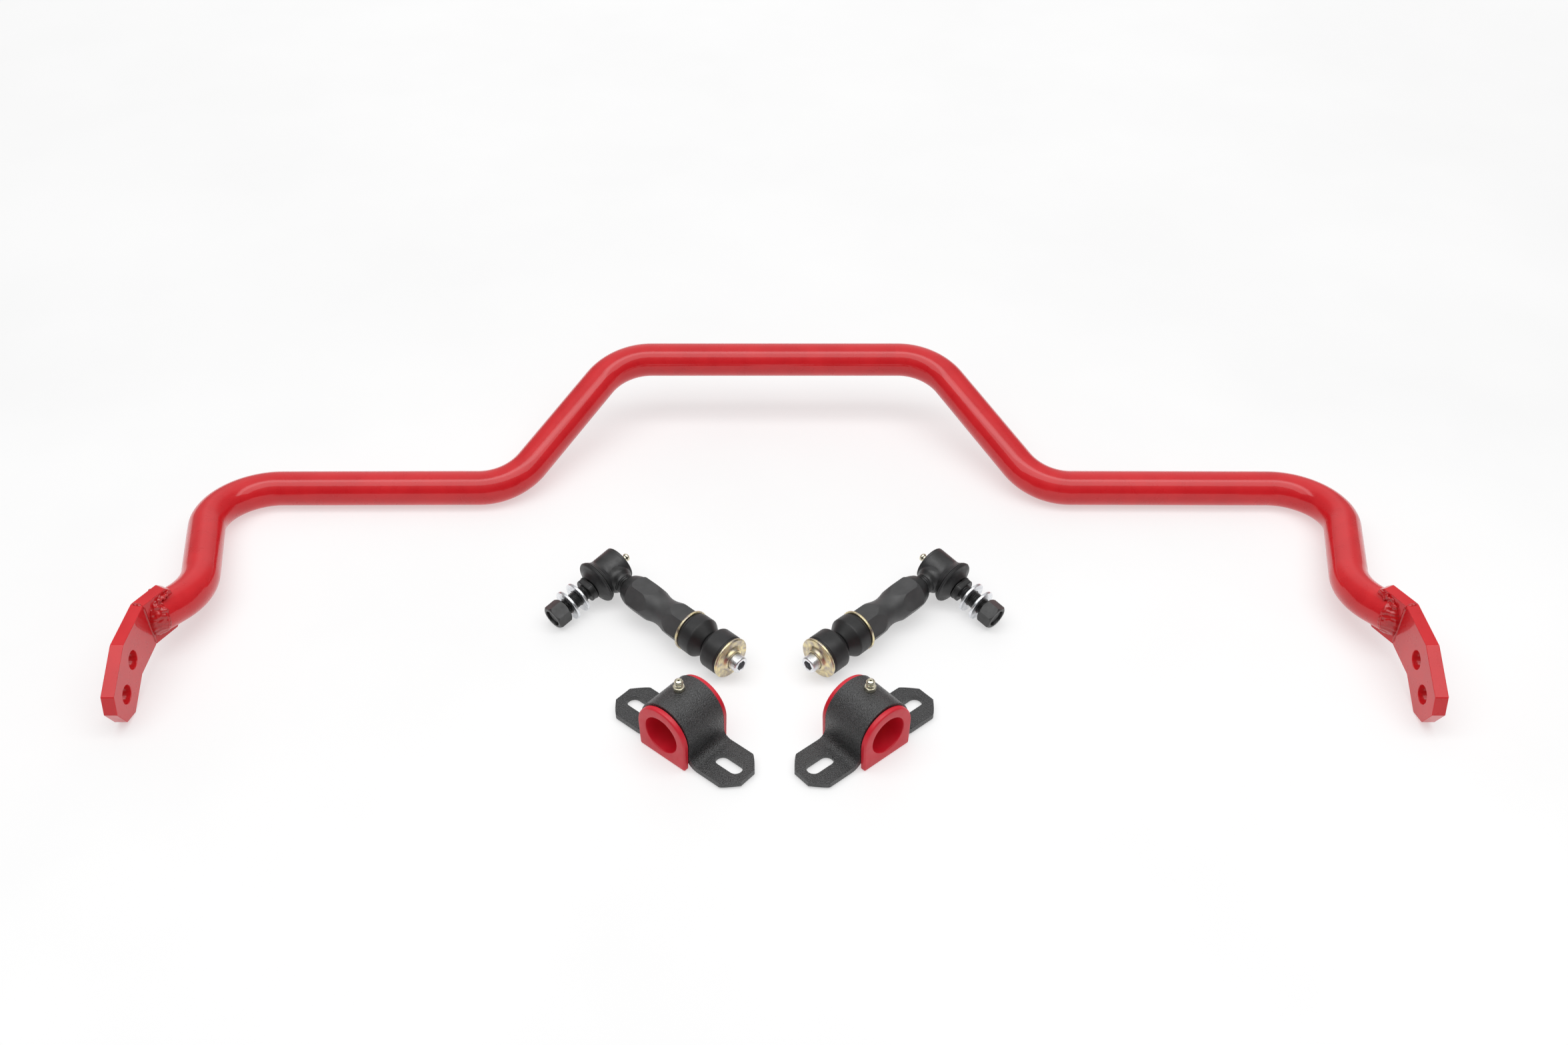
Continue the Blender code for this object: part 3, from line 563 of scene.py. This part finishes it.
def build_link(side, label):
    """One end link: hexagonal body, lower stud set, ball housing, ball stud and its hardware."""
    stud = "y" if side > 0 else "-y"
    cover = "-y" if side > 0 else "y"
    yaw = -LINK_YAW if side < 0 else pi + LINK_YAW
    shank = (Matrix.Translation((side * LINK_AT[0], LINK_AT[1], LINK_AT[2]))
             @ Matrix.Rotation(yaw, 4, "Z") @ Matrix.Rotation(LINK_DIP, 4, "Y"))
    head = shank @ Matrix.Rotation(-side * STUD_DROOP, 4, "X")
    link, housing = "link_" + label, "housing_" + label

    # waisted hexagonal body
    waist = [(12.9, 32.2), (13.7, 33.4), (14.5, 35.6), (14.9, 38.2), (14.9, 44.5)]
    for i in range(1, 24):
        t = i / 24
        waist.append((14.9 - 3.7 * (0.5 - 0.5 * cos(2 * pi * t)) ** 0.9, 44.5 + 37.5 * t))
    waist += [(14.9, 82.0), (14.9, 88.8), (14.4, 89.5)]
    body = hex_bar(25.4, waist, 32.0, 90.0, "x", segments=96)
    add("link_hex_" + label, body, HEX_GREY, link, ["link_body_" + label],
        at=shank, sharp=20)
    add("link_collar_" + label, lathe([
        (6.6, 24.2), (9.7, 24.2), (10.6, 25.2), (11.5, 27.4), (12.3, 29.8), (12.8, 32.4), (6.6, 32.4),
    ], "x", 72, soft=0.4), BLACK, link, ["jam_collar_" + label], at=shank)

    # lower stud, grommets and cup washers
    lower = lathe([(0.02, 80.0), (6.1, 80.0), (6.4, 136.0), (6.4, 142.6), (5.6, 143.5), (0.02, 143.5)],
                  "x", 72, closed=False)
    key = prism([(x * MM, y * MM) for x, y in hexagon(7.0)], 133.0 * MM, 150.0 * MM)
    bmesh.ops.transform(key, matrix=AXES["x"], verts=key.verts)
    add("lower_stud_" + label + "_turned", carve(lower, [tool(key)]), ZINC, link,
        ["lower_stud_" + label], at=shank, bevel=0.35 * MM)
    add("cup_upper_" + label, lathe([
        (6.8, 89.8), (15.3, 89.8), (15.9, 90.4), (15.9, 91.9), (15.2, 92.1), (6.8, 92.1),
    ], "x", 80, soft=0.35), GOLD, link, ["cup_washer_upper_" + label], at=shank)
    add("grommet_top_" + label, lathe([
        (6.8, 92.2), (14.7, 92.2), (15.0, 92.9), (14.8, 93.5), (15.5, 94.2), (15.6, 103.0),
        (15.2, 103.8), (9.8, 111.0), (9.0, 111.4), (6.8, 111.4),
    ], "x", 80, soft=0.6), RUBBER, link, ["grommet_upper_" + label], at=shank)
    add("grommet_low_" + label, lathe([
        (6.8, 111.6), (9.4, 111.6), (15.2, 116.0), (15.8, 117.0), (15.8, 129.2), (15.1, 129.9),
        (15.3, 130.4), (14.9, 130.9), (6.8, 130.9),
    ], "x", 80, soft=0.6), RUBBER, "grommet_lower_" + label,
        ["grommet_lower_" + label], at=shank)
    add("cup_lower_" + label, lathe([
        (6.8, 131.1), (15.5, 131.1), (16.0, 131.7), (16.0, 132.9), (15.2, 133.6), (13.6, 133.2),
        (10.6, 133.4), (9.4, 134.4), (8.6, 136.0), (7.9, 136.7), (6.6, 136.5),
    ], "x", 80, soft=0.5), GOLD, "cup_washer_lower_" + label,
        ["cup_washer_lower_" + label], at=shank)

    # ball housing, neck and threaded stem
    shell = lathe([
        (11.1, -12.4), (13.1, -12.6), (13.9, -12.2), (14.1, -11.4), (13.9, -10.6), (14.1, -10.2),
        (14.1, 4.6), (14.3, 6.2), (15.4, 8.6), (16.4, 9.6), (16.2, 9.9), (17.2, 10.7), (17.5, 11.5),
        (9.6, 11.5), (9.6, 7.0), (11.1, 6.6),
    ], stud, 96, soft=0.35)
    neck = lathe([
        (0.02, 8.0), (11.4, 8.0), (11.2, 12.6), (10.5, 14.6), (9.0, 16.2), (8.1, 17.2), (8.0, 18.2),
        (7.6, 18.8), (0.02, 18.8),
    ], "x", 72, closed=False, soft=0.8)
    add("housing_shell_" + label, join(shell, neck), BLACK, housing,
        ["ball_housing_" + label], at=head, sharp=45)
    add("stem_thread_" + label, thread(7.9, 0.95, 1.75, 17.0, 31.0, "x"), BLACK, housing,
        at=head, sharp=60)
    add("cover_disc_" + label, lathe([
        (0.02, -12.1), (10.9, -12.1), (11.05, -11.5), (0.02, -11.3),
    ], stud, 72, closed=False), BLACK, housing, ["housing_cover_" + label], at=head)
    nipple("nipple_link_" + label, housing, head, ["grease_fitting_link_" + label], cover, 12.2)
    boot = lathe([
        (15.0, 11.6), (17.2, 11.6), (17.8, 12.1), (17.9, 12.8), (17.3, 13.1), (17.5, 13.6), (16.6, 14.3),
        (14.6, 14.7), (12.4, 15.8), (10.6, 17.4), (9.4, 18.8), (8.7, 18.9), (6.3, 18.9), (6.3, 17.8),
        (9.4, 15.6), (13.6, 13.0),
    ], stud, 96, soft=0.7)
    out = Vector((0, side * MM, 0))
    bend = (housing, "seat_" + label, head @ (out * 12.2), head @ (out * 16.4))
    add("boot_" + label, boot, RUBBER, bend, ["dust_boot_" + label], at=head)

    # ball, neck, wrench collar and threaded shank
    ball = [(0.02, -9.3)] + [(9.3 * cos(t), 9.3 * sin(t)) for t in
                             (-pi / 2 + 0.12 * k for k in range(1, 20))]
    ball = [p for p in ball if p[0] >= 5.9 or p[1] < 0]
    ball += [(5.8, 8.0), (5.8, 19.4), (6.2, 19.8), (0.02, 19.8)]
    core = lathe(ball, stud, 64, closed=False)
    round_r, flat = 9.3, 7.4
    reach = asin(flat / round_r)
    outline = [(round_r * cos(t) * MM, round_r * sin(t) * MM) for start in (-reach, pi - reach)
               for t in (start + 2 * reach * i / 16 for i in range(17))]
    flats = prism(outline, 20.0 * MM, 24.5 * MM)
    bmesh.ops.transform(flats, matrix=AXES[stud], verts=flats.verts)
    bmesh.ops.bevel(flats, geom=[e for e in flats.edges if e.calc_face_angle(0) > 0.5],
                    offset=0.45 * MM, segments=3, affect="EDGES", clamp_overlap=True)
    shank_thread = thread(6.35, 0.85, 1.6, 24.4, 56.2, stud)
    end = lathe([(0.02, 55.0), (5.3, 55.0), (5.3, 55.9), (4.9, 56.4), (0.02, 56.4)], stud, 48,
                closed=False)
    add("ball_stud_" + label + "_turned", join(core, flats, shank_thread, end), BLACK, "stud_" + label,
        ["ball_stud_" + label], at=head, sharp=35)
    for name, low in (("washer_inner", 30.6), ("washer_outer", 40.5)):
        add(name + "_" + label + "_flat", lathe([
            (6.75, low), (12.2, low), (12.45, low + 0.4), (12.45, low + 1.8), (12.1, low + 2.2),
            (6.75, low + 2.2),
        ], stud, 80, soft=0.3), ZINC, name + "_" + label, [name + "_" + label], at=head)
    nut = hex_bar(17.6, fillet([
        (6.2, 45.8), (8.3, 45.8), (9.3, 46.4), (10.2, 47.4), (10.2, 56.4), (9.4, 57.4), (8.5, 58.0),
        (6.2, 58.0),
    ], 0.35), 45.0, 59.0, stud)
    bore = lathe([(6.5, 43.0), (6.5, 57.0), (7.3, 60.0)], stud, 64, closed=False)
    add("nut_" + label, carve(nut, [tool(bore)]), BLACK, "nut_" + label,
        ["stud_nut_" + label], at=head, sharp=28)
    seat_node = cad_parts["bearing_seat_" + label]
    seat_node.data.materials.clear()
    seat_node.data.materials.append(NYLON)


for side, label in SIDES:
    build_link(side, label)


# ------------------------------------------------------ brackets and bushings
def bracket_line(step=0.9):
    """Mid-line of the bracket strip from the left tip to the right tip: (x, z, nx, nz)."""
    knee = 6.5 + FOOT_T / 2
    mid_r = DOME_R - DOME_WALL / 2
    foot_z = FOOT_LIFT + FOOT_T / 2
    knee_x, knee_z = mid_r + knee, foot_z + knee
    right = []
    length = FOOT_HALF - knee_x
    count = max(2, round(length / step))
    for i in range(count):
        right.append((FOOT_HALF - length * i / count, foot_z, 0.0, 1.0))
    for i in range(13):
        t = -pi / 2 - (pi / 2) * i / 12
        right.append((knee_x + knee * cos(t), knee_z + knee * sin(t), -cos(t), -sin(t)))
    rise = DOME_Z - knee_z
    count = max(1, round(rise / step))
    for i in range(1, count):
        right.append((mid_r, knee_z + rise * i / count, 1.0, 0.0))
    for i in range(25):
        t = (pi / 2) * i / 24
        right.append((mid_r * cos(t), DOME_Z + mid_r * sin(t), cos(t), sin(t)))
    left = [(-x, z, -nx, nz) for x, z, nx, nz in reversed(right[:-1])]
    return right + left


def half_depth(x):
    """Half of the strip's depth at x, narrowing over the chamfered foot."""
    d = FOOT_HALF - abs(x)
    if d >= FOOT_CHAMFER:
        return SADDLE_DEPTH / 2
    return SADDLE_DEPTH / 2 - FOOT_CHAMFER * (1 - d / FOOT_CHAMFER) ** 1.18


def build_bracket(at, label):
    """Saddle bracket: a strip bent over the bushing, with a slot in each foot."""
    name, loops, across = "bracket_" + label, [], 10
    for x, z, nx, nz in bracket_line():
        w, t = half_depth(x), FOOT_T / 2
        ring = []
        for s in (1, -1):
            for k in range(across + 1):
                y = (-w + 2 * w * k / across) * s
                ring.append(((x + nx * t * s) * MM, y * MM, (z + nz * t * s) * MM))
        loops.append(ring)
    slots = []
    for end in (-1, 1):
        outline = []
        for centre, start in ((SLOT_OUT - SLOT_R, -pi / 2), (SLOT_IN + SLOT_R, pi / 2)):
            outline += [
                (end * (centre + SLOT_R * cos(start + pi * i / 16)) * MM,
                 SLOT_R * sin(start + pi * i / 16) * MM) for i in range(17)
            ]
        slots.append(tool(prism(outline, -10 * MM, 20 * MM)))
    add("saddle_" + label, carve(rings(loops), slots), TEXTURED, name, [name],
        at=at, bevel=0.9 * MM)


def d_outline(radius, centre_z, half, count, inset=0.0, corner=1.6):
    """D shape standing on z = 0, resampled to count points from the middle of its base."""
    pts = [(0.0, 0.0), (half, 0.0)]
    for i in range(33):
        t = pi * i / 32
        pts.append((radius * cos(t), centre_z + radius * sin(t)))
    pts.append((-half, 0.0))
    pts = [pts[0]] + fillet([pts[0], *pts[1:], pts[0]], corner)[1:-1]
    closed = pts + [pts[0]]
    run = [0.0]
    for a, b in zip(closed, closed[1:]):
        run.append(run[-1] + sqrt((a[0] - b[0]) ** 2 + (a[1] - b[1]) ** 2))
    out, k = [], 0
    for i in range(count):
        s = run[-1] * i / count
        while run[k + 1] < s:
            k += 1
        f = (s - run[k]) / max(run[k + 1] - run[k], 1e-9)
        out.append((closed[k][0] * (1 - f) + closed[k + 1][0] * f,
                    closed[k][1] * (1 - f) + closed[k + 1][1] * f))
    if inset:
        moved = []
        for i in range(count):
            (ax, az), (bx, bz) = out[i - 1], out[(i + 1) % count]
            dx, dz = bx - ax, bz - az
            size = max(sqrt(dx * dx + dz * dz), 1e-9)
            moved.append((out[i][0] - dz / size * inset, out[i][1] + dx / size * inset))
        out = moved
    return out


def build_bushing(at, label):
    """D-shaped bushing with a rounded flange at each end, bored for the bar."""
    name, count = "bushing_" + label, 120
    core_r = DOME_R - DOME_WALL - 0.3
    inner, outer = SADDLE_DEPTH / 2 + 0.3, SADDLE_DEPTH / 2 + 0.3 + FLANGE_T

    def flange(y, inset):
        return [(x * MM, y * MM, z * MM)
                for x, z in d_outline(FLANGE_R, BORE_Z, FLANGE_R - 0.8, count, inset)]

    def core(y):
        return [(x * MM, y * MM, z * MM) for x, z in d_outline(core_r, DOME_Z, core_r, count, 0.0, 0.6)]

    def bore(y, radius):
        return [(radius * MM * sin(2 * pi * i / count), y * MM,
                 (BORE_Z - radius * cos(2 * pi * i / count)) * MM) for i in range(count)]

    edge = 1.5
    half = [bore(outer - 1.0, BORE_R)]
    for k in range(4):
        t = (pi / 2) * (k + 1) / 4
        half.append(bore(outer - 0.7 + 0.7 * sin(t), BORE_R + 0.7 - 0.7 * cos(t)))
    for k in range(6):
        t = (pi / 2) * k / 5
        half.append(flange(outer - edge + edge * cos(t), edge - edge * sin(t)))
    half.append(flange(inner + 0.4, 0.0))
    half.append(flange(inner, 0.4))
    half.append(core(inner - 0.02))
    mirrored = [[(x, -y, z) for x, y, z in loop] for loop in reversed(half)]
    add("bush_" + label, rings(half + mirrored, closed=True), URETHANE, name,
        [name], at=at, sharp=34)


for side, label in SIDES:
    at = (Matrix.Translation((side * SADDLE_AT[0], SADDLE_AT[1], 0))
          @ Matrix.Rotation(side * SADDLE_YAW, 4, "Z"))
    build_bracket(at, label)
    build_bushing(at, label)
    crown_z = (DOME_Z + sqrt(DOME_R ** 2 - NIPPLE_SHIFT ** 2)) * MM
    nipple("nipple_saddle_" + label, "bracket_" + label, at, ["grease_fitting_saddle_" + label], "z",
           0.2, (side * NIPPLE_SHIFT * MM, 2.0 * MM, crown_z))


# ------------------------------------------------------ floor, light, camera
def build_floor():
    bm = bmesh.new()
    bmesh.ops.create_grid(bm, x_segments=1, y_segments=1, size=FLOOR_HALF)
    mesh = bpy.data.meshes.new("floor")
    bm.to_mesh(mesh)
    bm.free()
    floor = bpy.data.objects.new("floor", mesh)
    bpy.context.scene.collection.objects.link(floor)
    floor.location.z = -FLOOR_DROP
    mat = finish("pale_floor", (0.44, 0.44, 0.44), (0.47, 0.47, 0.47), 3.0, (20.0, 0.5, 0.6),
                 [(300.0, 2.0, 0.05, 0.1)], specular=0.1)
    glow = mat.node_tree.nodes["Principled BSDF"].inputs
    glow["Emission Color"].default_value = (1.0, 1.0, 1.0, 1.0)
    tree = mat.node_tree
    split = tree.nodes.new("ShaderNodeSeparateXYZ")
    tree.links.new(tree.nodes.new("ShaderNodeTexCoord").outputs["Object"], split.inputs["Vector"])
    tree.links.new(spread(tree, split.outputs["Y"], 0.53, 0.68, 0.25, 1.5), glow["Emission Strength"])
    mesh.materials.append(mat)


def area_light(name, at, aim, size, power):
    data = bpy.data.lights.new(name, "AREA")
    data.shape = "RECTANGLE"
    data.size, data.size_y = size
    data.energy = power
    obj = bpy.data.objects.new(name, data)
    bpy.context.scene.collection.objects.link(obj)
    obj.location = at
    obj.rotation_euler = (Vector(aim) - Vector(at)).to_track_quat("-Z", "Y").to_euler()


build_floor()
for light in LIGHTS:
    area_light(*light)

# room: bright above and behind, dim where the camera stands and at both sides
world = bpy.data.worlds.new("studio")
bpy.context.scene.world = world
world.use_nodes = True
tree = world.node_tree
split = tree.nodes.new("ShaderNodeSeparateXYZ")
tree.links.new(tree.nodes.new("ShaderNodeTexCoord").outputs["Generated"], split.inputs["Vector"])
lean = tree.nodes.new("ShaderNodeMath")
lean.operation = "MULTIPLY_ADD"
lean.inputs[1].default_value = 0.5
tree.links.new(split.outputs["Y"], lean.inputs[0])
tree.links.new(split.outputs["Z"], lean.inputs[2])
room = spread(tree, lean.outputs[0], 0.09, 0.82, -0.1, 0.9)
away = tree.nodes.new("ShaderNodeMath")
away.operation = "ABSOLUTE"
tree.links.new(split.outputs["X"], away.inputs[0])
walls = spread(tree, away.outputs[0], 1.0, 0.45, 0.22, 0.5)
dim = tree.nodes.new("ShaderNodeMath")
dim.operation = "MULTIPLY"
tree.links.new(room, dim.inputs[0])
tree.links.new(walls, dim.inputs[1])
tree.links.new(dim.outputs[0], tree.nodes["Background"].inputs["Strength"])
tree.nodes["Background"].inputs["Color"].default_value = (1.0, 1.0, 1.0, 1.0)

camera = bpy.data.objects.new("camera", bpy.data.cameras.new("camera"))
bpy.context.scene.collection.objects.link(camera)
camera.location = CAMERA_AT
camera.rotation_euler = (pi / 2 - CAMERA_TILT, 0.0, 0.0)
camera.data.lens = LENS_MM
camera.data.sensor_width = SENSOR_MM
camera.data.shift_x = SHIFT_X
camera.data.clip_end = 50.0
bpy.context.scene.camera = camera
bpy.context.scene.view_settings.view_transform = "Standard"
